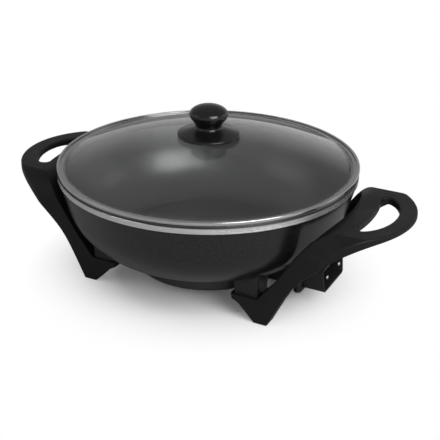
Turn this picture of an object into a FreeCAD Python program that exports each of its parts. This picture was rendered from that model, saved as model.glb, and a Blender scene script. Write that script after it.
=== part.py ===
import FreeCAD, Part

import math
import os

# Electric wok with a lift-off glass lid, in millimetres. +Z is up and +X points
# out over the inlet side. The origin is on the floor, under the bowl's axis.

V = FreeCAD.Vector
UP = V(0, 0, 1)
EAST = V(1, 0, 0)
NORTH = V(0, 1, 0)

# ---- driving dimensions: bowl ----
BOWL_BASE_Z = 43.0         # flat outer bottom above the floor
BOWL_BASE_R = 95.5         # where the flat bottom turns into the bend
BOWL_BEND_R = 76.0         # radius of the bend, in section
BOWL_FLARE = 15.5          # degrees that the wall leans outwards
BOWL_WALL = 4.0            # cast wall
BOWL_FLOOR = 5.0           # cast floor
BAND_R = 179.6             # machined rim band
BAND_LOW = 134.8
BAND_HIGH = BAND_LOW + 6.2
LIP_R = BAND_R - 1.4       # coated lip above the band
LIP_Z = BAND_HIGH + 3.0
MOUTH_R = BAND_R - 6.1     # straight inner rim
LIP_ROUND = 1.2

# ---- driving dimensions: lugs and posts under the bowl ----
LUG_X, LUG_Y = 95.0, 76.0  # middle of a lug
LUG_SIZE = 29.0            # square lug at its lower face
LUG_DRAFT = 3.0            # growth of the lug over its height
LUG_ROUND = 2.5
LUG_TOP = 66.0
LEDGE_Z = 31.0             # where lug and leg ledge meet
GUARD_POST_X, GUARD_POST_Y = 137.5, 38.0
GUARD_POST_R = 4.5
CENTRE_POST_R = 7.0
CURVED_SEAT = 0.15         # gap where a lug or post follows the bowl's curve

# ---- driving dimensions: heater ----
ELEMENT_RING_R = 71.0      # centre line of the element ring
ELEMENT_TUBE_R = 4.0
ELEMENT_BEND_R = 14.0
ELEMENT_Z = 38.6
PAD_WIDTH = 20.0           # cast ridge that holds the element
PIN_Y = 19.0               # half the spacing of the inlet pins
PIN_R = 2.5
PIN_ROOT_R = 3.0           # thicker root, held in the bush
PIN_TIP_X = 167.0
SHEATH_END_X = 108.0
BUSH_R = PIN_ROOT_R + 1.8
BUSH_LENGTH = 6.0
PIN_SHOULDER_X = SHEATH_END_X + BUSH_LENGTH + 1.0
SLEEVE_Z = 37.8
SLEEVE_BORE_R = 4.2
SLEEVE_WALL = 0.8
SLEEVE_END_X = 30.0
SLEEVE_MOUTH_X = 128.0
SADDLE_LENGTH = 55.0
SADDLE_HALF_WIDTH = 11.0
CLIP_X, CLIP_LENGTH = 48.0, 12.0
CLIP_T = 1.0

# ---- driving dimensions: base cover and inlet guard ----
COVER_R = 91.0
COVER_LOW = 17.5
COVER_T = 1.2
COVER_ROUND = 4.0
DIMPLE_R = 13.0
DIMPLE_DEPTH = 4.0
GUARD_LOW, GUARD_HIGH = 23.0, 52.0
GUARD_LOW_HALF = 30.4      # half width at its floor
GUARD_HIGH_HALF = 32.8     # and at its top
GUARD_MOUTH_X = 167.5
GUARD_MOUTH_LEAN = 2.7     # the mouth's top is set back by this
GUARD_T = 1.8
GUARD_ROUND = 4.5
GUARD_EAR_T = 3.0
GUARD_EAR_R = 5.0

# ---- driving dimensions: handle and leg moulding ----
SIDE_Y = LUG_Y + 17.5      # outer faces of the two legs
LEG_T = 18.0               # thickness of a leg across the wok
LOOP_R = 96.0              # round outer edge of the loop, in plan
LOOP_X = 160.0             # its centre
LOOP_BACK_R = 184.0        # loop's back edge, round the bowl's axis
LOOP_BACK_CORNER = 9.0     # corner between the back edge and a leg
LOOP_CREST_X = 192.0       # where the sweep of the leg levels out
SHOULDER_R = 31.0          # round shoulder where loop turns into leg
LOOP_TOP_IN = 121.8        # loop's top at its back edge
LOOP_TOP_OUT = 122.8       # and at its outer edge
LEG_FRONT = ((136.5, 27.0), (156.5, 60.0), (176.5, 80.0), (200.0, 100.0), (228.0, 113.5))
LEG_BACK = ((110.0, 31.0), (125.0, 50.0), (139.0, 70.0), (151.5, 90.0), (163.0, 105.5), (177.0, 117.5))
FOOT = ((88.0, 19.5), (107.0, 0.0), (123.0, 0.0), (136.5, 27.0))
LOOP_TIP_Z = 118.5         # underside of the loop past its outer edge
LEDGE_TIP_X = 77.0
LEDGE_T = 6.0
LEDGE_HEEL_X = 110.0       # where the ledge meets the leg
LEDGE_INSIDE_Y = LUG_Y - 15.5   # inner end of a ledge
LOOP_PLATE_T = 8.0         # thickness of the loop between its skirts
LOOP_SKIRT = 7.0           # skirt under the loop's outer edge
LOOP_ROOT_ROUND = 7.0
FINGER_BACK_R = LOOP_BACK_R + 24.5   # finger hole's back edge, round the bowl's axis
FINGER_OUT_X = LOOP_X + LOOP_R - 20.0
FINGER_HALF_WIDTH = 52.0
FINGER_CORNER_R = 7.0
FINGER_LIP = 2.0           # rounding of its upper edge
EDGE_ROUND = 1.8           # rounding of the moulding's outer edges
CORE_WALL = 3.4            # wall left round the hollow back of a leg
CORE_TOP_Z = 97.0
CORE_LEAN = 53.0           # direction of the leg above the floor, degrees
CORE_RIBS = 3
RIB_T = 2.6
RIB_SPACING = 17.5
RIB_REACH = 40.0           # half length of a rib before it is trimmed

# ---- driving dimensions: screws ----
LEG_SCREW_Y = LUG_Y - 7.5
LEG_SCREW_R, LEG_HEAD_R, LEG_HEAD_H = 2.4, 4.5, 3.0
LEG_SCREW_GRIP = 18.0
LEG_WASHER_R = 5.6
GUARD_SCREW_R, GUARD_HEAD_R, GUARD_HEAD_H = 1.9, 4.0, 2.6
GUARD_SCREW_GRIP = 15.0
COVER_SCREW_R, COVER_HEAD_R, COVER_HEAD_H = 2.4, 4.5, 2.4
COVER_SCREW_GRIP = 14.0
COVER_WASHER_R = 7.5
WASHER_T = 1.0
THREAD_GAP = 0.1           # radial gap of a screw in its thread
HOLE_GAP = 0.4             # radial gap of a screw in a through hole
FIT = 0.3                  # clearance between pieces that only lie near each other
BEYOND = 300.0             # reach of a cutting tool that runs past every face

# ---- driving dimensions: lid ----
RING_R = BAND_R + 0.4
RING_LOW = LIP_Z + FIT
RING_SHEET = 0.6
RING_TOP_IN = RING_R - 3.6  # inner edge of the flange over the glass
RING_HEM_R = MOUTH_R - 1.2  # turned down hem that drops inside the bowl's mouth
RING_HEM_IN = RING_HEM_R - 2.0
RING_HEM_LOW = RING_LOW - 3.5
RING_HEM_BACK = RING_LOW - 1.0
RING_CORNER = 0.9
BEND_STEPS = 3            # straight steps in each bend of the sheet
RING_PLAY = 0.1            # play of the glass between the two flanges
GLASS_T = 3.0
GLASS_R = RING_R - 1.0
GLASS_FLAT_R = RING_R - 8.0
GLASS_ROUND = 14.0
GLASS_APEX = 178.5
GLASS_HOLE_R = 4.6
SKIRT_R = 37.3
SKIRT_LOW = GLASS_APEX + 0.5
SKIRT_EDGE_H = 2.8
SKIRT_EDGE_ROUND = 1.2
SKIRT_HUB_Z = SKIRT_LOW + 9.0
SKIRT_HUB_R = 17.6
SKIRT_BOSS_R = 15.0
SKIRT_BOSS_Z = GLASS_APEX + 1.4   # foot of the boss, above the upper gasket
SKIRT_WALL = 2.0
KNOB_H = 28.2
KNOB_SHAPE = (             # radius, and height above the skirt's hub
    (16.4, 0.0), (15.4, 2.0), (16.3, 4.4), (19.3, 7.8), (21.9, 12.3), (23.1, 18.0),
)
KNOB_SHOULDER_R = 6.5
KNOB_FLAT_R = 1.5          # gate mark, a small flat on the crown
KNOB_SCREW_R = 2.4
INSERT_R = 5.0
INSERT_DEPTH = 14.0
INSERT_GROOVE = 0.6
MOULD_GAP = 0.05
SEAT_GAP = 0.05            # between a gasket's rim and the glass
UPPER_GASKET_R = 14.0
LOWER_GASKET_R = 12.0
LOWER_GASKET_T = 1.5
KNOB_WASHER_R = 13.0
KNOB_HEAD_R, KNOB_HEAD_H = 5.0, 3.0
KNOB_SCREW_GRIP = 27.0

# ---- driving dimensions: earth strip ----
EARTH_X, EARTH_LENGTH = 118.0, 34.0
EARTH_WIDTH = 9.0
EARTH_T = 0.8
EARTH_RISE = 3.2

PARTS = "parts"


# ---- drawing helpers ----
def path(place, start, *steps):
    """Edges in a row: each step is a point, or (point on the arc, end point)."""
    edges = []
    here = place(start)
    for step in steps:
        if isinstance(step[0], tuple):
            middle, end = place(step[0]), place(step[1])
            edges.append(Part.Arc(here, middle, end).toShape())
        else:
            end = place(step)
            if here.distanceToPoint(end) < 1e-6:
                continue
            edges.append(Part.LineSegment(here, end).toShape())
        here = end
    return edges


def outline(place, start, *steps):
    """Closed wire along a path and back to its start."""
    return Part.Wire(path(place, start, *steps, start))


def section(point):
    """Point of a turned profile: (radius, height)."""
    return V(point[0], 0, point[1])


def side_view(point):
    """Point of an outline seen from the side: (x, z)."""
    return V(point[0], 0, point[1])


def end_view(point):
    """Point of an outline seen along X: (y, z)."""
    return V(0, point[0], point[1])


def plan(point):
    """Point of an outline seen from above: (x, y)."""
    return V(point[0], point[1], 0)


def around(centre, radius, degrees):
    """Point on a circle, as a pair."""
    angle = math.radians(degrees)
    return (centre[0] + radius * math.cos(angle), centre[1] + radius * math.sin(angle))


def arc(centre, radius, first, last):
    """Step for outline: round a centre from one angle to another."""
    return (around(centre, radius, (first + last) / 2), around(centre, radius, last))


def turned(start, *steps):
    """Solid of revolution about the bowl's axis."""
    return Part.Face(outline(section, start, *steps)).revolve(V(0, 0, 0), UP, 360)


def rod(radius, start, length, axis=UP):
    return Part.makeCylinder(radius, length, start, axis)


def ring(outer, inner, start, length, axis=UP):
    return rod(outer, start, length, axis).cut(rod(inner, start, length, axis))


def block(x0, x1, y0, y1, z0, z1):
    return Part.makeBox(x1 - x0, y1 - y0, z1 - z0, V(x0, y0, z0))


def mirrored_y(shape):
    return shape.mirror(V(0, 0, 0), NORTH)


def mirrored_x(shape):
    return shape.mirror(V(0, 0, 0), EAST)


def both_sides(shape):
    """The shape and its mirror image across the XZ plane."""
    return Part.makeCompound([shape, mirrored_y(shape)])


def turn_round(shape):
    """The shape turned half a circle about the bowl's axis."""
    turned_shape = shape.copy()
    turned_shape.rotate(V(0, 0, 0), UP, 180)
    return turned_shape


def four_ways(shape):
    """The shape and its copies at the other three feet."""
    pair = [shape, mirrored_y(shape)]
    return pair + [mirrored_x(one) for one in pair]


def screw(radius, head_r, head_h, seat, grip):
    """Pan head screw put in from below: seat is the point under its head."""
    head = rod(head_r, seat - V(0, 0, head_h), head_h)
    rim = [e for e in head.Edges if e.BoundBox.ZMax < seat.z - head_h / 2]
    head = head.makeFillet(head_h * 0.4, rim)
    return head.fuse(rod(radius, seat, grip)).removeSplitter()


# ---- bowl ----
BEND_CENTRE = (BOWL_BASE_R, BOWL_BASE_Z + BOWL_BEND_R)


def wall_radius(z, inset=0.0):
    """Radius of the straight upper wall at height z, moved inwards by inset."""
    start = around(BEND_CENTRE, BOWL_BEND_R - inset, -BOWL_FLARE)
    return start[0] + (z - start[1]) * math.tan(math.radians(BOWL_FLARE))


def bowl_form(inset, floor_inset, top):
    """Solid inside the bowl's outer face moved inwards by inset, up to top."""
    centre = BEND_CENTRE
    base = BOWL_BASE_Z + floor_inset
    bend = BOWL_BEND_R - inset
    first = -math.degrees(math.asin((centre[1] - base) / bend))
    return turned(
        (0, base),
        around(centre, bend, first),
        arc(centre, bend, first, -BOWL_FLARE),
        (wall_radius(top, inset), top),
        (0, top),
    )


def bowl_clearance(gap):
    """The bowl's outer form with a gap all round."""
    return bowl_form(-gap, -gap, LIP_Z)


def wok_bowl():
    """Turned bowl with its band and lip."""
    rim_top_r = LIP_R - LIP_ROUND
    body = bowl_form(0.0, 0.0, BAND_LOW)
    rim = turned(
        (0, BAND_LOW), (BAND_R, BAND_LOW), (BAND_R, BAND_HIGH), (LIP_R, BAND_HIGH),
        (LIP_R, LIP_Z - LIP_ROUND),
        arc((rim_top_r, LIP_Z - LIP_ROUND), LIP_ROUND, 0, 90),
        (0, LIP_Z),
    )
    inner_top = BAND_LOW - BOWL_WALL
    mouth_z = LIP_Z + 1
    widening = MOUTH_R - wall_radius(inner_top, BOWL_WALL)
    straight = inner_top + widening / math.tan(math.radians(BOWL_FLARE))
    hollow = bowl_form(BOWL_WALL, BOWL_FLOOR, straight)
    hollow = hollow.fuse(rod(MOUTH_R, V(0, 0, straight), mouth_z - straight))
    return body.fuse(rim).cut(hollow).removeSplitter()


def bowl_lugs():
    """Four square lugs that stand on the legs' ledges, with draft and rounded corners."""
    sections = []
    for z, grow in ((LEDGE_Z, 0.0), (LUG_TOP, LUG_DRAFT)):
        half = (LUG_SIZE + grow) / 2
        corners = ((-half, -half), (half, -half), (half, half), (-half, half))
        points = [V(LUG_X + x, LUG_Y + y, z) for x, y in corners]
        sections.append(Part.makePolygon(points + points[:1]))
    lug = Part.makeLoft(sections, True, True)
    lug = lug.makeFillet(LUG_ROUND, [e for e in lug.Edges if e.BoundBox.ZLength > LUG_SIZE])
    hole = rod(LEG_SCREW_R + THREAD_GAP, V(LUG_X, LEG_SCREW_Y, LEDGE_Z), LEG_SCREW_GRIP)
    return Part.makeCompound(four_ways(lug.cut([bowl_clearance(CURVED_SEAT), hole])))


def guard_posts():
    """Two round posts that carry the inlet guard."""
    low = GUARD_LOW + GUARD_EAR_T
    post = rod(GUARD_POST_R, V(GUARD_POST_X, GUARD_POST_Y, low), LUG_TOP - low)
    hole = rod(GUARD_SCREW_R + THREAD_GAP, V(GUARD_POST_X, GUARD_POST_Y, low), GUARD_SCREW_GRIP)
    return both_sides(post.cut([bowl_clearance(CURVED_SEAT), hole]))


def element_path():
    """Centre line of the element: two straight ends and one turn."""
    reach = ELEMENT_RING_R + ELEMENT_BEND_R
    bend_y = PIN_Y + ELEMENT_BEND_R
    bend_x = math.sqrt(reach ** 2 - bend_y ** 2)
    angle = math.degrees(math.atan2(bend_y, bend_x))

    def place(point):
        return V(point[0], point[1], ELEMENT_Z)

    def bend(side):
        centre = (bend_x, side * bend_y)
        first = around(centre, ELEMENT_BEND_R, -side * 90)
        middle = around(centre, ELEMENT_BEND_R, -side * (90 + (90 - angle) / 2))
        last = around((0, 0), ELEMENT_RING_R, side * angle)
        return [place(p) for p in (first, middle, last)]

    upper, lower = bend(1), bend(-1)
    far_side = place((-ELEMENT_RING_R, 0))
    ends = [place((SHEATH_END_X, side * PIN_Y)) for side in (1, -1)]
    return Part.Wire([
        Part.LineSegment(ends[0], upper[0]).toShape(),
        Part.Arc(*upper).toShape(),
        Part.Arc(upper[2], far_side, lower[2]).toShape(),
        Part.Arc(lower[2], lower[1], lower[0]).toShape(),
        Part.LineSegment(lower[0], ends[1]).toShape(),
    ])


def element_tube(radius):
    """Round tube of any radius along the element's centre line."""
    start = V(SHEATH_END_X, PIN_Y, ELEMENT_Z)
    circle = Part.Wire([Part.Circle(start, EAST, radius).toShape()])
    return element_path().makePipeShell([circle], True, False)


def heater_pad():
    """Cast pad under the bowl: the element's ridge, the probe's saddle and the centre post."""
    height = BOWL_BASE_Z - ELEMENT_Z
    outer, inner = ELEMENT_RING_R + PAD_WIDTH / 2, ELEMENT_RING_R - PAD_WIDTH / 2
    ridge = ring(outer, inner, V(0, 0, ELEMENT_Z), height)
    saddle = block(0, SLEEVE_END_X + SADDLE_LENGTH, -SADDLE_HALF_WIDTH, SADDLE_HALF_WIDTH,
                   SLEEVE_Z, BOWL_BASE_Z)
    dimple_top = COVER_LOW + DIMPLE_DEPTH + COVER_T
    post = rod(CENTRE_POST_R, V(0, 0, dimple_top), BOWL_BASE_Z - dimple_top)
    groove = element_tube(ELEMENT_TUBE_R + FIT)
    sleeve_r = SLEEVE_BORE_R + SLEEVE_WALL + FIT / 2
    channel = rod(sleeve_r, V(SLEEVE_END_X - 1, 0, SLEEVE_Z), 2 * SADDLE_LENGTH, EAST)
    hole = rod(COVER_SCREW_R + THREAD_GAP, V(0, 0, dimple_top), COVER_SCREW_GRIP)
    return ridge.multiFuse([saddle, post]).cut([groove, channel, hole]).removeSplitter()


# ---- heater and inlet ----
def heating_element():
    return element_tube(ELEMENT_TUBE_R)


def terminal_pins():
    """Two contact pins with a thicker root and a rounded tip."""
    start = V(SHEATH_END_X, PIN_Y, ELEMENT_Z)
    pin = rod(PIN_R, start, PIN_TIP_X - SHEATH_END_X, EAST)
    tip = [e for e in pin.Edges if e.BoundBox.XMin > PIN_TIP_X - 1]
    pin = pin.makeFillet(PIN_R * 0.7, tip)
    return both_sides(pin.fuse(rod(PIN_ROOT_R, start, PIN_SHOULDER_X - SHEATH_END_X, EAST)))


def terminal_bushes():
    start = V(SHEATH_END_X, PIN_Y, ELEMENT_Z)
    return both_sides(ring(BUSH_R, PIN_ROOT_R + THREAD_GAP, start, BUSH_LENGTH, EAST))


def probe_sleeve():
    length = SLEEVE_MOUTH_X - SLEEVE_END_X
    start = V(SLEEVE_END_X, 0, SLEEVE_Z)
    tube = rod(SLEEVE_BORE_R + SLEEVE_WALL, start, length, EAST)
    bore = rod(SLEEVE_BORE_R, start + EAST * SLEEVE_WALL, length, EAST)
    return tube.cut(bore)


def sleeve_clip():
    """Strap under the sleeve, with an ear on each side of it."""
    inner = SLEEVE_BORE_R + SLEEVE_WALL + FIT / 2
    outer = inner + CLIP_T
    face_z = SLEEVE_Z
    face = outline(
        end_view,
        (SADDLE_HALF_WIDTH, face_z),
        (inner, face_z),
        arc((0, face_z), inner, 0, -180),
        (-SADDLE_HALF_WIDTH, face_z),
        (-SADDLE_HALF_WIDTH, face_z - CLIP_T),
        (-outer, face_z - CLIP_T),
        ((0, face_z - outer), (outer, face_z - CLIP_T)),
        (SADDLE_HALF_WIDTH, face_z - CLIP_T),
    )
    strap = Part.Face(face).extrude(EAST * CLIP_LENGTH)
    strap.translate(EAST * CLIP_X)
    return strap


def base_cover():
    low, high = COVER_LOW, BOWL_BASE_Z
    inside = COVER_R - COVER_T
    round_in = COVER_ROUND - COVER_T
    shell = turned(
        (0, low + DIMPLE_DEPTH),
        (DIMPLE_R - DIMPLE_DEPTH / 2, low + DIMPLE_DEPTH),
        (DIMPLE_R, low),
        (COVER_R - COVER_ROUND, low),
        arc((COVER_R - COVER_ROUND, low + COVER_ROUND), COVER_ROUND, -90, 0),
        (COVER_R, high),
        (inside, high),
        (inside, low + COVER_ROUND),
        arc((COVER_R - COVER_ROUND, low + COVER_ROUND), round_in, 0, -90),
        (DIMPLE_R + COVER_T, low + COVER_T),
        (DIMPLE_R + COVER_T - DIMPLE_DEPTH / 2, low + COVER_T + DIMPLE_DEPTH),
        (0, low + COVER_T + DIMPLE_DEPTH),
    )
    half = PIN_Y + ELEMENT_TUBE_R + 1.5
    window = block(COVER_R / 2, COVER_R + 5, -half, half, ELEMENT_Z - ELEMENT_TUBE_R - 2, high + 1)
    hole = rod(COVER_SCREW_R + HOLE_GAP, V(0, 0, low), 2 * DIMPLE_DEPTH)
    return shell.cut([window, hole])


def guard_tunnel(inset):
    """The guard's form, moved inwards by inset: a tapered section drawn along the pins."""
    start = COVER_R / 2
    low, high = GUARD_LOW + inset, GUARD_HIGH - inset
    taper = (GUARD_HIGH_HALF - GUARD_LOW_HALF) / (GUARD_HIGH - GUARD_LOW)
    low_half = GUARD_LOW_HALF + inset * (taper - 1)
    high_half = GUARD_HIGH_HALF - inset * (taper + 1)
    face = Part.Face(outline(
        end_view, (-low_half, low), (low_half, low), (high_half, high), (-high_half, high)))
    face.translate(EAST * start)
    tunnel = face.extrude(EAST * (GUARD_MOUTH_X + 2 * inset - start))
    along = [e for e in tunnel.Edges if e.BoundBox.XLength > 1]
    return tunnel.makeFillet(GUARD_ROUND - inset, along)


def terminal_guard():
    """Pressed tunnel round the pins: fits the cover, the bowl and its two posts."""
    mouth = Part.Face(outline(
        side_view,
        (0, 0), (GUARD_MOUTH_X, 0), (GUARD_MOUTH_X, GUARD_LOW),
        (GUARD_MOUTH_X - GUARD_MOUTH_LEAN, GUARD_HIGH), (0, GUARD_HIGH)))
    mouth.translate(V(0, -SIDE_Y, 0))
    ear_at = V(GUARD_POST_X, GUARD_POST_Y, GUARD_LOW)
    ear = rod(GUARD_EAR_R, ear_at, GUARD_EAR_T)
    reach = block(GUARD_POST_X - GUARD_EAR_R, GUARD_POST_X + GUARD_EAR_R,
                  GUARD_LOW_HALF - GUARD_ROUND, GUARD_POST_Y, GUARD_LOW, GUARD_LOW + GUARD_EAR_T)
    ear = ear.fuse(reach).cut(rod(GUARD_SCREW_R + HOLE_GAP, ear_at, GUARD_EAR_T))
    shell = guard_tunnel(0.0).common(mouth.extrude(NORTH * 2 * SIDE_Y))
    shell = shell.multiFuse([ear, mirrored_y(ear)])
    cover_space = rod(COVER_R + FIT, V(0, 0, 0), LUG_TOP)
    return shell.cut([guard_tunnel(GUARD_T), bowl_clearance(FIT), cover_space]).removeSplitter()


# ---- handle and leg moulding ----
def smooth(place, points, first, last):
    """Spline through the points, with its direction given at both ends."""
    spline = Part.BSplineCurve()
    spline.interpolate(Points=[place(p) for p in points],
                       InitialTangent=place(first) - place((0, 0)),
                       FinalTangent=place(last) - place((0, 0)))
    return spline.toShape()


def handle_side():
    """Side outline: foot, ledge, the leg's sweep and the loop."""
    end_x = LOOP_X + LOOP_R + 2
    slope = (end_x - LOOP_CREST_X, LOOP_TOP_OUT - LOOP_TOP_IN)
    front = LEG_FRONT + ((end_x, LOOP_TIP_Z),)
    back = LEG_BACK + ((LOOP_CREST_X, LOOP_TOP_IN),)
    lines = (
        (back[0], (LEDGE_TIP_X, LEDGE_Z), (LEDGE_TIP_X + 1.5, LEDGE_Z - LEDGE_T)) + FOOT,
        (front[-1], (end_x, LOOP_TOP_OUT), back[-1]),
    )
    edges = [smooth(side_view, front, (1, 2), (15, 2)), smooth(side_view, back, (14, 19), slope)]
    for line in lines:
        edges += Part.makePolygon([side_view(p) for p in line]).Edges
    return Part.Face(Part.Wire(Part.__sortEdges__(edges)))


def handle_plan():
    """Plan outline: straight sides and the round outer edge."""
    reach = LOOP_X + math.sqrt(LOOP_R ** 2 - SIDE_Y ** 2)
    return Part.Face(outline(plan, (LEDGE_TIP_X - 5, -SIDE_Y), (reach, -SIDE_Y),
                             ((LOOP_X + LOOP_R, 0), (reach, SIDE_Y)), (LEDGE_TIP_X - 5, SIDE_Y)))


def handle_front():
    """Front outline: upright sides with round shoulders."""
    top = LOOP_TOP_OUT + 1
    bend_y, bend_z = SIDE_Y - SHOULDER_R, LOOP_TOP_OUT - SHOULDER_R
    return Part.Face(outline(
        end_view, (-SIDE_Y, 0), (SIDE_Y, 0), (SIDE_Y, bend_z),
        arc((bend_y, bend_z), SHOULDER_R, 0, 90), (bend_y, top), (-bend_y, top), (-bend_y, LOOP_TOP_OUT),
        arc((-bend_y, bend_z), SHOULDER_R, 90, 180)))


def handle_body():
    """The three outlines combined, with all outer edges rounded."""
    body = handle_side().extrude(NORTH * 2 * SIDE_Y)
    body.translate(V(0, -SIDE_Y, 0))
    body = body.common(handle_plan().extrude(UP * BEYOND))
    body = body.common(handle_front().extrude(EAST * BEYOND))
    body = body.removeSplitter()
    rounded = []
    for edge in body.Edges:
        box = edge.BoundBox
        on_side = box.YLength < 0.01
        seam = on_side and box.ZMin > LEDGE_Z + 1 and min(box.ZLength, box.XLength) < 0.01
        cross = isinstance(edge.Curve, Part.Line) and box.XLength < 0.01 and not on_side
        under = box.YLength > SIDE_Y and box.ZMin < LOOP_TOP_IN - SHOULDER_R + 10
        if not (seam or cross or under):
            rounded.append(edge)
    return body.makeFillet(EDGE_ROUND, rounded)


def loop_back():
    """Space between the legs: up to the loop's back edge, and further out under its plate."""
    half = SIDE_Y - LEG_T
    deep = LOOP_TOP_IN - LOOP_PLATE_T
    between = block(0, BEYOND, -half, half, -1, BEYOND)
    space = rod(LOOP_BACK_R, V(0, 0, -1), BEYOND + 1).common(between)
    corners = [e for e in space.Edges if e.BoundBox.ZLength > half and e.BoundBox.XMin > half]
    space = space.makeFillet(LOOP_BACK_CORNER, corners)
    scoop = block(0, BEYOND, -half, half, -1, deep)
    roots = [e for e in scoop.Edges if e.BoundBox.XLength > half and e.BoundBox.ZMin > 0]
    scoop = scoop.makeFillet(LOOP_ROOT_ROUND, roots)
    reach = rod(LOOP_R - LOOP_SKIRT, V(LOOP_X, 0, -1), BEYOND)
    reach = reach.fuse(block(0, LOOP_X, -half, half, -1, BEYOND - 1))
    return space.fuse(scoop.common(reach))


def finger_hole():
    """D-shaped opening in the loop, its back edge round the bowl's axis."""
    half = FINGER_HALF_WIDTH
    centre_x = math.sqrt(FINGER_BACK_R ** 2 - half ** 2)
    tips = V(centre_x, half, 0), V(FINGER_OUT_X, 0, 0)
    if FINGER_OUT_X - centre_x > half:
        tips = tips[::-1]
    oval = Part.Ellipse(*tips, V(centre_x, 0, 0))
    hole = Part.Face(Part.Wire(oval.toShape())).extrude(UP * BEYOND)
    hole = hole.cut(rod(FINGER_BACK_R, V(0, 0, -1), BEYOND + 2))
    corners = [e for e in hole.Edges if e.BoundBox.ZLength > half and abs(e.BoundBox.YMin) > half / 2]
    return hole.makeFillet(FINGER_CORNER_R, corners)


def shifted(points, distance):
    """The points moved sideways, to the left of the way they run."""
    moved = []
    for index, (x, z) in enumerate(points):
        before = points[max(index - 1, 0)]
        after = points[min(index + 1, len(points) - 1)]
        length = math.dist(before, after)
        across = (-(after[1] - before[1]) / length, (after[0] - before[0]) / length)
        moved.append((x + distance * across[0], z + distance * across[1]))
    return moved


def leg_core():
    """Hollow in the back of a leg, crossed by ribs square to the sweep."""
    front = shifted(LEG_FRONT, CORE_WALL)
    back = shifted(LEG_BACK, -CORE_WALL)
    edges = [smooth(side_view, front, (1, 2), (1, 1)), smooth(side_view, back, (14, 19), (1, 1))]
    for first, last in ((front[0], back[0]), (front[-1], back[-1])):
        edges.append(Part.LineSegment(side_view(first), side_view(last)).toShape())
    shin = Part.Face(Part.Wire(Part.__sortEdges__(edges)))
    toe, ankle = FOOT[-2:]
    deck = LEDGE_Z - LEDGE_T
    heel = (LEDGE_TIP_X + 1.5, deck)
    shin_foot = (toe[0] + (ankle[0] - toe[0]) * deck / ankle[1], deck)
    foot = Part.Face(Part.makePolygon([side_view(p) for p in (heel,) + FOOT[:-1] + (shin_foot, heel)]))
    foot = foot.makeOffset2D(-CORE_WALL)
    depth = LEG_T - CORE_WALL
    limit = block(0, BEYOND, 0, BEYOND, LEDGE_Z + CORE_WALL, CORE_TOP_Z)
    core = shin.extrude(NORTH * (depth + 1)).common(limit)
    core = core.fuse(foot.extrude(NORTH * (depth + 1)))
    core.translate(V(0, SIDE_Y - LEG_T - 1, 0))
    ribs = []
    along = math.radians(CORE_LEAN)
    for index in range(CORE_RIBS):
        rib = block(-RIB_REACH, RIB_REACH, 0, BEYOND, -RIB_T / 2, RIB_T / 2)
        rib.rotate(V(0, 0, 0), NORTH, 90 - CORE_LEAN)
        step = RIB_SPACING * (index + 1)
        rib.translate(V(LEDGE_HEEL_X + step * math.cos(along), 0, LEDGE_Z + step * math.sin(along)))
        ribs.append(rib)
    return core.cut(ribs)


def between_legs():
    """All that is cut away between the legs; the two ledges stay as plates."""
    half = SIDE_Y - LEG_T
    plates = block(0, LEDGE_HEEL_X, -half, half, LEDGE_Z - LEDGE_T, LEDGE_Z)
    middle = block(0, LEDGE_HEEL_X, -LEDGE_INSIDE_Y, LEDGE_INSIDE_Y, 0, LEDGE_Z)
    return loop_back().cut(plates.cut(middle))


def right_handle():
    """Loop, two legs and two ledges in one moulding."""
    body = handle_body().cut([between_legs(), finger_hole()])
    lips = []
    for edge in body.Edges:
        box = edge.BoundBox
        if box.XMin > FINGER_BACK_R - 8 and box.XMax < FINGER_OUT_X + 1 and box.ZMin > LOOP_TOP_IN - 1:
            lips.append(edge)
    body = body.makeFillet(FINGER_LIP, lips)
    screw_hole = rod(LEG_SCREW_R + HOLE_GAP, V(LUG_X, LEG_SCREW_Y, 0), LEDGE_Z + 1)
    core = leg_core()
    return body.cut([core, mirrored_y(core), screw_hole, mirrored_y(screw_hole)]).removeSplitter()


def left_handle():
    """The same moulding on the other side of the bowl."""
    return turn_round(right_handle())


# ---- fasteners ----
def washer(radius, hole, seat):
    """Flat washer whose upper face is at the seat."""
    return ring(radius, hole + HOLE_GAP, seat - V(0, 0, WASHER_T), WASHER_T)


def leg_screws():
    seat = V(LUG_X, LEG_SCREW_Y, LEDGE_Z - LEDGE_T - WASHER_T)
    return Part.makeCompound(four_ways(screw(LEG_SCREW_R, LEG_HEAD_R, LEG_HEAD_H, seat, LEG_SCREW_GRIP)))


def leg_washers():
    seat = V(LUG_X, LEG_SCREW_Y, LEDGE_Z - LEDGE_T)
    return Part.makeCompound(four_ways(washer(LEG_WASHER_R, LEG_SCREW_R, seat)))


def guard_screws():
    seat = V(GUARD_POST_X, GUARD_POST_Y, GUARD_LOW)
    return both_sides(screw(GUARD_SCREW_R, GUARD_HEAD_R, GUARD_HEAD_H, seat, GUARD_SCREW_GRIP))


def cover_washer():
    return washer(COVER_WASHER_R, COVER_SCREW_R, V(0, 0, COVER_LOW + DIMPLE_DEPTH))


def cover_screw():
    seat = V(0, 0, COVER_LOW + DIMPLE_DEPTH - WASHER_T)
    return screw(COVER_SCREW_R, COVER_HEAD_R, COVER_HEAD_H, seat, COVER_SCREW_GRIP)


def earth_contact():
    """Bowed spring strip on the floor of the guard."""
    floor = GUARD_LOW + GUARD_T
    ends = (EARTH_X, EARTH_X + EARTH_LENGTH)
    foot = EARTH_LENGTH / 4
    middle = (ends[0] + ends[1]) / 2
    face = outline(
        side_view,
        (ends[0], floor), (ends[0] + foot, floor),
        ((middle, floor + EARTH_RISE), (ends[1] - foot, floor)), (ends[1], floor),
        (ends[1], floor + EARTH_T), (ends[1] - foot, floor + EARTH_T),
        ((middle, floor + EARTH_RISE + EARTH_T), (ends[0] + foot, floor + EARTH_T)),
        (ends[0], floor + EARTH_T))
    strip = Part.Face(face).extrude(NORTH * EARTH_WIDTH)
    strip.translate(V(0, -EARTH_WIDTH / 2, 0))
    return strip


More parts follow.
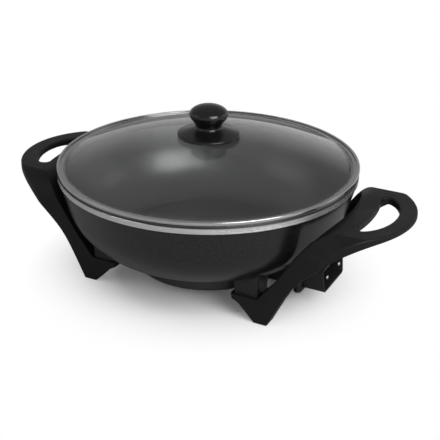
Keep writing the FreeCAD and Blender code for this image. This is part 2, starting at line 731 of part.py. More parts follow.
# ---- lid ----
GLASS_LOW = RING_LOW + RING_SHEET + RING_PLAY
GLASS_HIGH = GLASS_LOW + GLASS_T
RING_HIGH = GLASS_HIGH + RING_PLAY + RING_SHEET
DOME_ANGLE = 2 * math.atan((GLASS_APEX - GLASS_HIGH) / GLASS_FLAT_R)
DOME_R = GLASS_FLAT_R / math.sin(DOME_ANGLE) - GLASS_ROUND


def dome_form():
    """Whole lid glass without its hole: flat rim, small turn, dome."""
    turn_centre = (GLASS_FLAT_R, GLASS_HIGH + GLASS_ROUND)
    dome_centre = (0, GLASS_APEX - DOME_R)
    lean = math.degrees(DOME_ANGLE)
    return turned(
        (0, GLASS_APEX),
        arc(dome_centre, DOME_R, 90, 90 - lean),
        arc(turn_centre, GLASS_ROUND, 270 - lean, 270),
        (GLASS_R, GLASS_HIGH),
        (GLASS_R, GLASS_LOW),
        (GLASS_FLAT_R, GLASS_LOW),
        arc(turn_centre, GLASS_ROUND + GLASS_T, 270, 270 - lean),
        arc(dome_centre, DOME_R - GLASS_T, 90 - lean, 90),
    )


def lid_glass():
    glass = dome_form().cut(rod(GLASS_HOLE_R, V(0, 0, GLASS_APEX - 10), 20))
    edge = [e for e in glass.Edges if abs(e.BoundBox.XMax - GLASS_R) < 0.01 and e.BoundBox.ZLength < 0.01]
    return glass.makeFillet(GLASS_T * 0.3, edge)


def bend(centre, radius, start, end):
    """Points along a pressed bend, folded in short straight steps."""
    turn = (end - start) / BEND_STEPS
    return [around(centre, radius, start + turn * step) for step in range(BEND_STEPS + 1)]


def lid_ring():
    """Rolled hoop: a sheet bent round the glass, with a hem inside the bowl's mouth."""
    half = RING_SHEET / 2
    outer, corner = RING_R - half, RING_CORNER
    high, low = RING_HIGH - half, RING_LOW + half
    hem, hem_in = RING_HEM_R - half, RING_HEM_IN + half
    hem_round = (hem - hem_in) / 2
    hem_z = RING_HEM_LOW + half + hem_round

    def face_of_sheet(out):
        """One face of the sheet, moved outwards from its middle."""
        return [
            (RING_TOP_IN, high + out),
            *bend((outer - corner, high - corner), corner + out, 90, 0),
            *bend((outer - corner, low + corner), corner + out, 0, -90),
            *bend((hem + corner, low - corner), corner - out, 90, 180),
            *bend((hem_in + hem_round, hem_z), hem_round + out, 0, -180),
            (hem_in - out, RING_HEM_BACK),
        ]

    outside, inside = face_of_sheet(half), face_of_sheet(-half)
    return turned(*outside, *reversed(inside))


def lid_knob():
    """Turned knob: a splined waist, then a shoulder arc that runs into the crown."""
    shape = [(radius, SKIRT_HUB_Z + height) for radius, height in KNOB_SHAPE]
    low, wide = shape[0], shape[-1]
    wide_z = wide[1]
    corner = (wide[0] - KNOB_SHOULDER_R, wide_z)
    top = SKIRT_HUB_Z + KNOB_H
    rise = top - wide_z
    crown = (corner[0] ** 2 + rise ** 2 - KNOB_SHOULDER_R ** 2) / (2 * (rise - KNOB_SHOULDER_R))
    crown_centre = (0, top - crown)
    turn = math.degrees(math.atan2(wide_z - crown_centre[1], corner[0]))
    flat = math.degrees(math.acos(KNOB_FLAT_R / crown))
    flat_z = crown_centre[1] + crown * math.sin(math.radians(flat))
    head = outline(
        section, (0, wide_z), wide,
        arc(corner, KNOB_SHOULDER_R, 0, turn),
        arc(crown_centre, crown, turn, flat), (0, flat_z))
    waist = smooth(section, shape, (-1.0, 1.4), (0.0, 1.0))
    rest = Part.makePolygon([section(p) for p in (wide, (0, wide_z), (0, low[1]), low)])
    profile = Part.Face(head).fuse(Part.Face(Part.Wire([waist] + rest.Edges))).removeSplitter()
    knob = profile.Faces[0].revolve(V(0, 0, 0), UP, 360)
    return knob.cut(rod(INSERT_R + MOULD_GAP, V(0, 0, low[1]), INSERT_DEPTH + MOULD_GAP))


def knob_insert():
    """Threaded sleeve with two grooves that key it in the moulding."""
    start = V(0, 0, SKIRT_HUB_Z)
    insert = ring(INSERT_R, KNOB_SCREW_R + THREAD_GAP, start, INSERT_DEPTH)
    grooves = []
    for part in (0.3, 0.65):
        at = start + UP * INSERT_DEPTH * part
        grooves.append(ring(INSERT_R + 1, INSERT_R - INSERT_GROOVE, at, INSERT_DEPTH / 10))
    return insert.cut(grooves)


def knob_skirt():
    """Hollow shield under the knob, standing on a boss."""
    edge_top = SKIRT_LOW + SKIRT_EDGE_H
    body = turned(
        (0, SKIRT_LOW), (SKIRT_R, SKIRT_LOW), (SKIRT_R, edge_top),
        (SKIRT_HUB_R, SKIRT_HUB_Z), (0, SKIRT_HUB_Z))
    rim = [e for e in body.Edges if abs(e.BoundBox.ZMax - edge_top) < 0.01 and e.BoundBox.ZLength < 0.01]
    body = body.makeFillet(SKIRT_EDGE_ROUND, rim)
    hollow = turned(
        (SKIRT_BOSS_R, SKIRT_LOW - 1), (SKIRT_R - SKIRT_WALL, SKIRT_LOW - 1),
        (SKIRT_R - SKIRT_WALL, edge_top - SKIRT_WALL - 1),
        (SKIRT_HUB_R, SKIRT_HUB_Z - SKIRT_WALL), (SKIRT_BOSS_R, SKIRT_HUB_Z - SKIRT_WALL))
    hole = rod(KNOB_SCREW_R + HOLE_GAP, V(0, 0, SKIRT_LOW), SKIRT_HUB_Z)
    return body.cut([hollow, hole, rod(SKIRT_BOSS_R, V(0, 0, SKIRT_LOW), SKIRT_BOSS_Z - SKIRT_LOW)])


def upper_gasket():
    low = GLASS_APEX + SEAT_GAP
    return ring(UPPER_GASKET_R, KNOB_SCREW_R + HOLE_GAP, V(0, 0, low), SKIRT_BOSS_Z - low)


def lower_gasket():
    """Flat washer whose rim meets the underside of the dome."""
    under = DOME_R - GLASS_T
    sag = under - math.sqrt(under ** 2 - LOWER_GASKET_R ** 2)
    low = GLASS_APEX - GLASS_T - LOWER_GASKET_T
    return ring(LOWER_GASKET_R, KNOB_SCREW_R + HOLE_GAP, V(0, 0, low), LOWER_GASKET_T - sag - SEAT_GAP)


def knob_washer():
    return washer(KNOB_WASHER_R, KNOB_SCREW_R, V(0, 0, GLASS_APEX - GLASS_T - LOWER_GASKET_T))


def knob_screw():
    seat = V(0, 0, GLASS_APEX - GLASS_T - LOWER_GASKET_T - WASHER_T)
    return screw(KNOB_SCREW_R, KNOB_HEAD_R, KNOB_HEAD_H, seat, KNOB_SCREW_GRIP)


NODES = [
    wok_bowl, bowl_lugs, guard_posts, heater_pad,
    heating_element, terminal_pins, terminal_bushes, probe_sleeve, sleeve_clip,
    base_cover, cover_screw, cover_washer, terminal_guard, guard_screws, earth_contact,
    right_handle, left_handle, leg_screws, leg_washers,
    lid_glass, lid_ring, lid_knob, knob_skirt, knob_insert,
    upper_gasket, lower_gasket, knob_washer, knob_screw,
]

os.makedirs(PARTS, exist_ok=True)
for make in NODES:
    shape = make()
    name = make.__name__
    print(name, "solids", len(shape.Solids), "valid", shape.isValid(), "volume", round(shape.Volume))
    shape.exportStep(os.path.join(PARTS, name + ".step"))
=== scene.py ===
# %% [markdown]
# # An electric wok with a glass lid
# The object is a cast aluminium bowl on two black moulded handles that are also
# its legs, with a heater and its inlet underneath and a domed glass lid on top.
# Its metal and plastic parts arrive as finished solids, in metres, with the floor
# at z = 0 and the bowl's axis on the z axis. The inlet points along +x. This
# lesson gives each of them its finish, adds the small hardware, and lights it.

# %% Load the solids
import math

import bmesh
import bpy
from mathutils import Matrix, Vector
from mathutils.geometry import interpolate_bezier


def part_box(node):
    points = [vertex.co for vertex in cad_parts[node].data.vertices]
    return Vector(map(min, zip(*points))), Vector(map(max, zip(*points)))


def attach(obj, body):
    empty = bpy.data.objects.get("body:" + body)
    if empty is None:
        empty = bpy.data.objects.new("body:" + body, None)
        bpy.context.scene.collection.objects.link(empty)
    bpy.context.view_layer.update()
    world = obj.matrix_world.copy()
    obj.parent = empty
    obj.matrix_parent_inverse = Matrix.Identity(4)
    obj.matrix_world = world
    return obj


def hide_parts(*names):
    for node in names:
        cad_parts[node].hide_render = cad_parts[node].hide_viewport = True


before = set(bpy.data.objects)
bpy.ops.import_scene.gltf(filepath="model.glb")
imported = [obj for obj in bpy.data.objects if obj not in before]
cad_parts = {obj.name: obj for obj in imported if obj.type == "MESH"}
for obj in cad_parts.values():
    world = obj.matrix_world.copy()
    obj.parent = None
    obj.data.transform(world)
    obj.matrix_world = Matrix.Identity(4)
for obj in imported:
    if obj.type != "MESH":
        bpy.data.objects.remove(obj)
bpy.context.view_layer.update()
for name in ("leg_screws", "guard_screws", "cover_screw", "knob_screw", "lid_ring", "lid_glass"):
    low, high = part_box(name)
    print(name, "from", [round(x, 4) for x in low], "to", [round(x, 4) for x in high])

# %% [markdown]
# ## Small helpers for node trees
# A finish is a tree of nodes that ends in a Principled shader. Helpers keep the
# trees short: one places a node and sets its inputs, one starts a material, and
# the others do sums and mixes. A value that is the same all over goes straight
# onto a socket.

# %% Helpers for finishes
def node(tree, kind, inputs=None, **settings):
    """A shader node with its settings, and its inputs set or linked by name."""
    made = tree.nodes.new("ShaderNode" + kind)
    for name, value in settings.items():
        setattr(made, name, value)
    for name, value in (inputs or {}).items():
        if isinstance(value, bpy.types.NodeSocket):
            tree.links.new(value, made.inputs[name])
        else:
            made.inputs[name].default_value = value
    return made


def maths(tree, operation, first, second):
    """The result of one sum on two values."""
    return node(tree, "Math", {0: first, 1: second}, operation=operation).outputs[0]


def scaled(tree, value, factor, start):
    """A value times a factor, from a start."""
    return node(tree, "Math", {0: value, 1: factor, 2: start}, operation="MULTIPLY_ADD").outputs[0]


def between(tree, value, low, high, to_low=0.0, to_high=1.0):
    """A value stretched from one range to another and clamped to it."""
    ranges = {"From Min": low, "From Max": high, "To Min": to_low, "To Max": to_high}
    return node(tree, "MapRange", {"Value": value, **ranges}).outputs["Result"]


def distance_from_axis(tree, parts):
    """How far a place is from the z axis, from its three parts."""
    flat = node(tree, "CombineXYZ", {0: parts[0], 1: parts[1]}).outputs[0]
    return node(tree, "VectorMath", {0: flat}, operation="LENGTH").outputs["Value"]


def colour_mix(tree, mask, first, second):
    """First colour where the mask is 0, second where it is 1."""
    mixer = node(tree, "Mix", data_type="RGBA")
    for place, value in ((0, mask), (6, first), (7, second)):
        if isinstance(value, bpy.types.NodeSocket):
            tree.links.new(value, mixer.inputs[place])
        else:
            mixer.inputs[place].default_value = value if place == 0 else (*value, 1.0)
    return mixer.outputs[2]


def value_mix(tree, mask, first, second):
    """First value where the mask is 0, second where it is 1."""
    mixer = node(tree, "Mix", data_type="FLOAT")
    for place, value in ((0, mask), (2, first), (3, second)):
        if isinstance(value, bpy.types.NodeSocket):
            tree.links.new(value, mixer.inputs[place])
        else:
            mixer.inputs[place].default_value = value
    return mixer.outputs[0]


def grey(level, tint=(1.0, 1.0, 1.0)):
    """A grey, plain or with a slight tint."""
    return tuple(level * part for part in tint)


def new_finish(name, **sockets):
    """A material, its tree and its shader, with the shader's plain values set."""
    material = bpy.data.materials.new(name)
    material.use_nodes = True
    shader = material.node_tree.nodes["Principled BSDF"]
    for socket, value in sockets.items():
        shader.inputs[socket.replace("_", " ")].default_value = value
    return material, material.node_tree, shader


def raised(tree, shader, height, depth):
    """Relief of a given depth, in metres, on the surface."""
    bump = node(tree, "Bump", {"Height": height, "Distance": depth, "Strength": 1.0})
    tree.links.new(bump.outputs["Normal"], shader.inputs["Normal"])


def wear(piece_names, material):
    """Puts a finish on solids by their names."""
    for name in piece_names:
        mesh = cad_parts[name].data
        mesh.materials.clear()
        mesh.materials.append(material)
    print(material.name, "on", ", ".join(piece_names))


# %% [markdown]
# ## Pieces in place of solids
# A few solids are replaced by a more detailed piece. Its faces are smooth, apart
# from the edges where two of them meet at a clear angle. Where only the sharp
# edges of a solid are missing their small radius, the piece is the solid itself:
# its triangles are joined into whole faces again, and its edges are bevelled. A
# round piece is one line down its side, spun round the axis.

# %% Helpers for pieces
SAME_PLACE = 1e-6
SMOOTH_UP_TO = math.radians(32)
FLAT_WITHIN, SHARP_FROM = math.radians(0.5), math.radians(40)


def new_piece(node_name, form, material, body):
    """An object from a form: smooth, in its finish, riding on a body, in place of a solid."""
    bmesh.ops.recalc_face_normals(form, faces=form.faces)
    mesh = bpy.data.meshes.new(node_name + "_modelled")
    form.to_mesh(mesh)
    form.free()
    mesh.materials.append(material)
    mesh.shade_smooth()
    mesh.set_sharp_from_angle(angle=SMOOTH_UP_TO)
    piece = bpy.data.objects.new(mesh.name, mesh)
    bpy.context.collection.objects.link(piece)
    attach(piece, body)
    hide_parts(node_name)
    print(piece.name, "has", len(mesh.polygons), "faces")


def with_round_edges(node_name, radius, material, body):
    """A solid with its sharp edges rounded."""
    form = bmesh.new()
    form.from_mesh(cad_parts[node_name].data)
    bmesh.ops.remove_doubles(form, verts=form.verts, dist=SAME_PLACE)
    bmesh.ops.dissolve_limit(form, angle_limit=FLAT_WITHIN, verts=form.verts, edges=form.edges)
    closed = [edge for edge in form.edges if edge.is_manifold]
    sharp = [edge for edge in closed if edge.calc_face_angle() > SHARP_FROM]
    bmesh.ops.bevel(
        form, geom=sharp, affect="EDGES", offset=radius, segments=2, profile=0.5, material=-1,
        clamp_overlap=True,
    )
    new_piece(node_name, form, material, body)


def spun(line, steps, closed=False):
    """A line of points, (radius, height), turned all the way round the z axis."""
    form = bmesh.new()
    verts = [form.verts.new((radius, 0.0, z)) for radius, z in line]
    ends = verts[1:] + verts[:1] if closed else verts[1:]
    edges = [form.edges.new(pair) for pair in zip(verts, ends)]
    bmesh.ops.spin(
        form, geom=verts + edges, axis=(0, 0, 1), cent=(0, 0, 0), angle=math.tau, steps=steps,
        use_merge=True,
    )
    bmesh.ops.remove_doubles(form, verts=form.verts, dist=SAME_PLACE)
    return form


# %% [markdown]
# ## Effects that several finishes share
# Each effect is a node group with named inputs and outputs, built once. A group
# gives out only values that change over the surface, and each finish decides
# what they do to its colour, roughness or relief.

# %% Start of a group
def new_group(name, inputs, outputs):
    """An empty group: its tree, the node with its inputs and the one with its outputs."""
    tree = bpy.data.node_groups.new(name, "ShaderNodeTree")
    for label, value in inputs.items():
        socket = tree.interface.new_socket(label, in_out="INPUT", socket_type="NodeSocketFloat")
        socket.default_value = value
    for label in outputs:
        tree.interface.new_socket(label, in_out="OUTPUT", socket_type="NodeSocketFloat")
    return tree, tree.nodes.new("NodeGroupInput").outputs, tree.nodes.new("NodeGroupOutput").inputs


def use_group(tree, group, **inputs):
    """A group placed in a finish with its own values."""
    placed = node(tree, "Group", node_tree=group)
    for label, value in inputs.items():
        placed.inputs[label].default_value = value
    return placed.outputs


# %% [markdown]
# ### The skin of a moulding
# A mould for phenolic plastic is lightly blasted, so the part comes out with a
# fine pebbled skin: two sizes of soft noise give its height. A third, broad one
# is the faint mottle that fillers leave in the colour.

# %% Group: moulded skin
moulded_skin, given, result = new_group(
    "moulded skin", {"Grains per metre": 1500.0}, ["Height", "Mottle"]
)
place = node(moulded_skin, "TexCoord").outputs["Object"]
grains = {"Vector": place, "Scale": given["Grains per metre"]}
fine = node(moulded_skin, "TexNoise", {**grains, "Detail": 2.0})
pebbles = node(moulded_skin, "TexVoronoi", grains, feature="SMOOTH_F1")
cloudy = node(moulded_skin, "TexNoise", {"Vector": place, "Scale": 28.0, "Detail": 4.0})
height = scaled(moulded_skin, pebbles.outputs["Distance"], 0.6, fine.outputs["Fac"])
moulded_skin.links.new(height, result["Height"])
moulded_skin.links.new(cloudy.outputs["Fac"], result["Mottle"])
print("group:", moulded_skin.name)

# %% [markdown]
# ### Handling
# Hands and cloths leave broad, barely visible patches where a surface is a
# little duller or shinier, and a few specks of dust settle on it.

# %% Group: handling
handling, given, result = new_group("handling", {"Patches per metre": 22.0}, ["Smear", "Dust"])
place = node(handling, "TexCoord").outputs["Object"]
scale = given["Patches per metre"]
patches = node(
    handling, "TexNoise", {"Vector": place, "Scale": scale, "Detail": 5.0, "Distortion": 0.6}
)
handling.links.new(between(handling, patches.outputs["Fac"], 0.35, 0.7), result["Smear"])
specks = node(handling, "TexVoronoi", {"Vector": place, "Scale": 420.0, "Randomness": 1.0})
handling.links.new(between(handling, specks.outputs["Distance"], 0.05, 0.0), result["Dust"])
print("group:", handling.name)

# %% [markdown]
# ### Turned lines
# A part that was spun or turned on a lathe has very fine rings round its axis.
# Noise that only sees the distance from the axis and the height makes rings
# that are all different.

# %% Group: turned lines
turned_lines, given, result = new_group(
    "turned lines", {"Rings per metre": 900.0}, ["Height", "Streak"]
)
place = node(turned_lines, "TexCoord").outputs["Object"]
parts = node(turned_lines, "SeparateXYZ", {0: place}).outputs
radius = distance_from_axis(turned_lines, parts)
across = node(turned_lines, "CombineXYZ", {0: radius, 1: parts[2]}).outputs[0]
scale = given["Rings per metre"]
rings = node(turned_lines, "TexNoise", {"Vector": across, "Scale": scale, "Detail": 3.0})
turned_lines.links.new(rings.outputs["Fac"], result["Height"])
broad = node(turned_lines, "TexNoise", {"Vector": across, "Scale": 160.0, "Detail": 2.0})
turned_lines.links.new(broad.outputs["Fac"], result["Streak"])
print("group:", turned_lines.name)

# %% [markdown]
# ### Flakes in a coating
# Non-stick coats carry tiny metallic flakes. Each cell of a Voronoi pattern gets
# a random number, and only the few highest ones become a flake.

# %% Group: coating flakes
coat_flakes, given, result = new_group(
    "coating flakes", {"Flakes per metre": 900.0, "Share": 0.12}, ["Flake", "Orange peel"]
)
place = node(coat_flakes, "TexCoord").outputs["Object"]
cells = node(coat_flakes, "TexVoronoi", {"Vector": place, "Scale": given["Flakes per metre"]})
lot = node(coat_flakes, "SeparateColor", {0: cells.outputs["Color"]}).outputs[0]
least = maths(coat_flakes, "SUBTRACT", 1.0, given["Share"])
chosen = maths(coat_flakes, "GREATER_THAN", lot, least)
middle = between(coat_flakes, cells.outputs["Distance"], 0.5, 0.2)
coat_flakes.links.new(maths(coat_flakes, "MULTIPLY", chosen, middle), result["Flake"])
peel = node(coat_flakes, "TexNoise", {"Vector": place, "Scale": 480.0, "Detail": 2.0})
coat_flakes.links.new(peel.outputs["Fac"], result["Orange peel"])
print("group:", coat_flakes.name)

# %% [markdown]
# ## The bowl
# One casting shows four surfaces: a charcoal coat outside, a black non-stick
# coat inside and over the lip, a bare turned band under the lip, and raw cast
# metal inside the base cover. The finish picks between them by place: by height
# for the band, by radius for the bottom, and by which way the surface faces for
# inside and outside. Flakes sparkle in both coats, and the turned band has rings.
# The non-stick coat ends in a clear, hard top layer, which is the shader's coat.

# %% Finish: bowl
BAND_LOW, BAND_HIGH, BAND_IN = 0.1349, 0.1409, 0.1775
COVERED_R, COVERED_BELOW = 0.088, 0.0425
OUTSIDE, INSIDE = grey(0.006, (0.98, 1.0, 1.03)), grey(0.010)
FLAKE, TURNED, RAW_CAST = grey(0.30), grey(0.86), grey(0.50, (1.0, 1.0, 0.98))

bowl_coats, tree, shader = new_finish(
    "bowl coats", Specular_IOR_Level=0.5, Coat_Roughness=0.30, Coat_IOR=2.0
)
place = node(tree, "TexCoord").outputs
parts = node(tree, "SeparateXYZ", {0: place["Object"]}).outputs
facing = node(tree, "SeparateXYZ", {0: place["Normal"]}).outputs[2]
flakes = use_group(tree, coat_flakes, **{"Flakes per metre": 1700.0, "Share": 0.08})
rings = use_group(tree, turned_lines, **{"Rings per metre": 2600.0})
marks = use_group(tree, handling, **{"Patches per metre": 16.0})

above = maths(tree, "GREATER_THAN", parts[2], BAND_LOW)
below = maths(tree, "LESS_THAN", parts[2], BAND_HIGH)
radius = distance_from_axis(tree, parts)
rim = maths(tree, "GREATER_THAN", radius, BAND_IN)
band = maths(tree, "MULTIPLY", maths(tree, "MULTIPLY", above, below), rim)
inside = between(tree, facing, 0.0, 0.02)
lip = maths(tree, "GREATER_THAN", parts[2], BAND_HIGH)
inside = maths(tree, "MAXIMUM", inside, lip)
under = maths(tree, "LESS_THAN", parts[2], COVERED_BELOW)
raw = maths(tree, "MULTIPLY", under, maths(tree, "LESS_THAN", radius, COVERED_R))
raw = maths(tree, "MULTIPLY", raw, maths(tree, "SUBTRACT", 1.0, inside))

coat = colour_mix(tree, inside, OUTSIDE, INSIDE)
sparkle = maths(tree, "MULTIPLY", flakes["Flake"], value_mix(tree, inside, 0.35, 0.2))
coat = colour_mix(tree, sparkle, coat, FLAKE)
coat = colour_mix(tree, raw, coat, RAW_CAST)
coat = colour_mix(tree, band, coat, TURNED)
tree.links.new(coat, shader.inputs["Base Color"])
bare = maths(tree, "MAXIMUM", band, raw)
metallic = maths(tree, "MAXIMUM", bare, maths(tree, "MULTIPLY", sparkle, 0.7))
tree.links.new(metallic, shader.inputs["Metallic"])
tree.links.new(maths(tree, "MULTIPLY", inside, 0.8), shader.inputs["Coat Weight"])
dull = scaled(tree, marks["Smear"], 0.05, value_mix(tree, inside, 0.22, 0.34))
dull = value_mix(tree, band, dull, 0.24)
dull = value_mix(tree, raw, dull, 0.55)
tree.links.new(dull, shader.inputs["Roughness"])
cuts = maths(tree, "MULTIPLY", rings["Height"], 13.0)
relief = value_mix(tree, band, flakes["Orange peel"], cuts)
raised(tree, shader, relief, 0.00003)
wear(["wok_bowl"], bowl_coats)

# %% [markdown]
# The lugs that carry the legs and the two posts of the inlet guard have the
# coat in black. The pad that holds the heater is bare metal, as it left the
# mould: light, dull and a little rough.

# %% Finish: lugs and posts
lug_coat, tree, shader = new_finish("lug coat", Specular_IOR_Level=0.3)
flakes = use_group(tree, coat_flakes, **{"Flakes per metre": 1300.0, "Share": 0.06})
marks = use_group(tree, handling, **{"Patches per metre": 60.0})
colour = colour_mix(tree, marks["Smear"], grey(0.012), grey(0.017))
tree.links.new(colour_mix(tree, flakes["Flake"], colour, grey(0.08)), shader.inputs["Base Color"])
tree.links.new(between(tree, marks["Smear"], 0.0, 1.0, 0.42, 0.50), shader.inputs["Roughness"])
raised(tree, shader, flakes["Orange peel"], 0.00004)
wear(["bowl_lugs", "guard_posts"], lug_coat)
with_round_edges("bowl_lugs", 0.0006, lug_coat, "wok")

# %% Finish: bare casting
bare_casting, tree, shader = new_finish("bare casting", Metallic=1.0)
skin = use_group(tree, moulded_skin, **{"Grains per metre": 900.0})
marks = use_group(tree, handling, **{"Patches per metre": 40.0})
colour = colour_mix(tree, skin["Mottle"], grey(0.46), grey(0.58, (1.0, 1.0, 0.98)))
tree.links.new(colour, shader.inputs["Base Color"])
tree.links.new(between(tree, marks["Smear"], 0.0, 1.0, 0.48, 0.62), shader.inputs["Roughness"])
raised(tree, shader, skin["Height"], 0.00012)
wear(["heater_pad"], bare_casting)

# %% [markdown]
# ## Handles and legs
# Both handles, with the two legs that each stands on, are black phenolic: matt,
# slightly pebbled, a touch shinier where hands polish it. Phenolic scatters a
# little light in its skin, so its black is never quite zero.

# %% Finish: phenolic of the handles
handle_phenolic, tree, shader = new_finish("handle phenolic", Specular_IOR_Level=0.24)
skin = use_group(tree, moulded_skin, **{"Grains per metre": 1300.0})
marks = use_group(tree, handling, **{"Patches per metre": 30.0})
mottle = between(tree, skin["Mottle"], 0.35, 0.65)
colour = colour_mix(tree, mottle, grey(0.0055), grey(0.0080, (0.98, 1.0, 1.04)))
colour = colour_mix(tree, maths(tree, "MULTIPLY", marks["Dust"], 0.35), colour, grey(0.10))
tree.links.new(colour, shader.inputs["Base Color"])
tree.links.new(between(tree, marks["Smear"], 0.0, 1.0, 0.50, 0.40), shader.inputs["Roughness"])
raised(tree, shader, skin["Height"], 0.00004)
wear(["right_handle", "left_handle"], handle_phenolic)

# %% [markdown]
# ## Inlet guard
# The guard round the inlet pins is moulded from a tougher, slightly glossier
# black, with a finer skin.

# %% Finish: guard
guard_black, tree, shader = new_finish("guard black", Specular_IOR_Level=0.3)
skin = use_group(tree, moulded_skin, **{"Grains per metre": 2200.0})
marks = use_group(tree, handling, **{"Patches per metre": 45.0})
colour = colour_mix(tree, skin["Mottle"], grey(0.010), grey(0.015))
tree.links.new(colour, shader.inputs["Base Color"])
tree.links.new(between(tree, marks["Smear"], 0.0, 1.0, 0.38, 0.30), shader.inputs["Roughness"])
raised(tree, shader, skin["Height"], 0.00002)
wear(["terminal_guard"], guard_black)
with_round_edges("terminal_guard", 0.0004, guard_black, "wok")

# %% [markdown]
# ## Base cover
# The pressed steel cover is enamelled black. Enamel lies in soft waves, like the
# skin of an orange, which shows only in its reflections.

# %% Finish: enamel of the cover
cover_enamel, tree, shader = new_finish("cover enamel", Coat_Weight=0.25, Coat_Roughness=0.18)
flakes = use_group(tree, coat_flakes, **{"Flakes per metre": 700.0})
marks = use_group(tree, handling)
colour = colour_mix(tree, marks["Smear"], grey(0.011), grey(0.017))
tree.links.new(colour, shader.inputs["Base Color"])
tree.links.new(between(tree, marks["Smear"], 0.0, 1.0, 0.34, 0.42), shader.inputs["Roughness"])
raised(tree, shader, flakes["Orange peel"], 0.00006)
wear(["base_cover"], cover_enamel)

# %% [markdown]
# ## Metal hardware
# The small metal parts differ in colour, in roughness and in how they were
# made. One recipe makes them all: a metallic shader with fine drawn or rolled
# lines along x, a tarnish colour that gathers in patches, and a little relief.

# %% Recipe for metal parts
def metal(name, colour, tarnish, roughness, lines):
    """Drawn or rolled metal, with so many lines per metre across x."""
    material, tree, shader = new_finish(name, Metallic=1.0)
    place = node(tree, "TexCoord").outputs["Object"]
    stretched = node(tree, "Mapping", {"Vector": place, "Scale": (0.04, 1.0, 1.0)})
    drawn = node(tree, "TexNoise", {"Vector": stretched.outputs[0], "Scale": lines, "Detail": 3.0})
    marks = use_group(tree, handling, **{"Patches per metre": 90.0})
    amount = maths(tree, "MULTIPLY", marks["Smear"], 0.6)
    tree.links.new(colour_mix(tree, amount, colour, tarnish), shader.inputs["Base Color"])
    rough = scaled(tree, drawn.outputs["Fac"], 0.12, roughness)
    tree.links.new(rough, shader.inputs["Roughness"])
    raised(tree, shader, drawn.outputs["Fac"], 0.00001)
    return material


# %% [markdown]
# Each kind of metal goes on the parts that are made of it. The element's sheath
# is dark from heat, the pins are bright nickel, and screws and washers are zinc.

# %% Finishes: metals
sheath = metal(
    "element sheath", grey(0.30, (1.0, 0.97, 0.93)), grey(0.12, (1.0, 0.9, 0.8)), 0.38, 900.0
)
nickel = metal(
    "nickel pins", grey(0.80, (1.0, 0.985, 0.95)), grey(0.66, (1.0, 0.95, 0.88)), 0.14, 1600.0
)
alloy = metal("sleeve alloy", grey(0.68), grey(0.56), 0.28, 1200.0)
spring = metal("spring steel", grey(0.56), grey(0.42, (1.0, 0.97, 0.92)), 0.26, 1500.0)
zinc = metal(
    "zinc plate", grey(0.60, (0.98, 1.0, 1.03)), grey(0.46, (1.0, 0.98, 0.9)), 0.27, 1100.0
)
brass = metal("turned brass", (0.72, 0.52, 0.22), (0.45, 0.32, 0.15), 0.25, 1400.0)
wear(["heating_element"], sheath)
wear(["terminal_pins"], nickel)
wear(["probe_sleeve"], alloy)
wear(["sleeve_clip", "earth_contact"], spring)
wear(["leg_washers", "cover_washer", "knob_washer"], zinc)
wear(["leg_screws", "guard_screws", "cover_screw", "knob_screw"], zinc)
wear(["knob_insert"], brass)

# %% [markdown]
# ## Screws
# The solids of the screws are plain, so each is replaced by a modelled one. A
# screw is a shape of revolution: one line down its side, from the dome of its
# head along the crests and roots of its thread to the point, is spun round its
# axis. Only the recess for the driver isn't round. Two loops of edges, each as
# many as the spin has steps, take the head's mouth over into a cross and down:
# each has a reach, a half width and a height, as parts of the head's own.

# %% Parts of a screw
AROUND = 24
PITCH = 0.0008
ROOT_DEPTH = 0.45 * PITCH
RECESS = ((0.52, 0.13, -1.0), (0.40, 0.09, -0.30))


def screw_side(shank, head, height, length):
    """Line down the side of a pan head screw that points up, from its mouth to its point."""
    line = [(0.66 * head, -height), (0.82 * head, -0.93 * height), (0.94 * head, -0.70 * height)]
    line += [(head, -0.40 * height), (head, -0.08 * height), (0.97 * head, 0.0), (shank, 0.0)]
    for turn in range(1, int(length / PITCH) - 1):
        line += [(shank - ROOT_DEPTH, turn * PITCH), (shank, (turn + 0.5) * PITCH)]
    return line + [(0.6 * shank, length - 0.3 * PITCH), (0.0, length)]


def cross_loop(form, reach, half_width, z):
    """Edges round a cross, with six points in each quarter."""
    between_arms = (reach + half_width) / 2
    quarter = [
        (reach, 0.0), (reach, half_width), (between_arms, half_width),
        (half_width, half_width), (half_width, between_arms), (half_width, reach),
    ]
    points = []
    for turn in range(4):
        turned = Matrix.Rotation(turn * math.pi / 2, 2)
        points += [turned @ Vector(point) for point in quarter]
    verts = [form.verts.new((point.x, point.y, z)) for point in points]
    return [form.edges.new(pair) for pair in zip(verts, verts[1:] + verts[:1])]


def screw_form(shank, head, height, length):
    """A screw that points up, with its head below its seat at z = 0."""
    form = spun(screw_side(shank, head, height, length), AROUND)
    mouth = [edge for edge in form.edges if edge.is_boundary]
    for reach, half_width, depth in RECESS:
        cross = cross_loop(form, reach * head, half_width * head, depth * height)
        bmesh.ops.bridge_loops(form, edges=mouth + cross)
        mouth = cross
    bmesh.ops.triangle_fill(form, edges=mouth, use_beauty=True)
    return form


# %% [markdown]
# One object holds all screws of a kind. A seat is where the underside of a
# screw's head lies: on a washer, on a ledge of the guard or in the lid.

# %% Place the screws
def screws(node_name, seats, body, shank, head, height, length):
    """Screws at their seats, in place of the solids of one node."""
    whole = bmesh.new()
    single = bpy.data.meshes.new("one screw")
    for seat in seats:
        one = screw_form(shank, head, height, length)
        bmesh.ops.translate(one, verts=one.verts, vec=seat)
        one.to_mesh(single)
        one.free()
        whole.from_mesh(single)
    bpy.data.meshes.remove(single)
    new_piece(node_name, whole, zinc, body)


LEG_SEATS = [(x, y, 0.024) for x in (-0.095, 0.095) for y in (-0.0685, 0.0685)]
GUARD_SEATS = [(0.1375, y, 0.023) for y in (-0.038, 0.038)]
COVER_SEAT, KNOB_SEAT = (0, 0, 0.0205), (0, 0, 0.173)

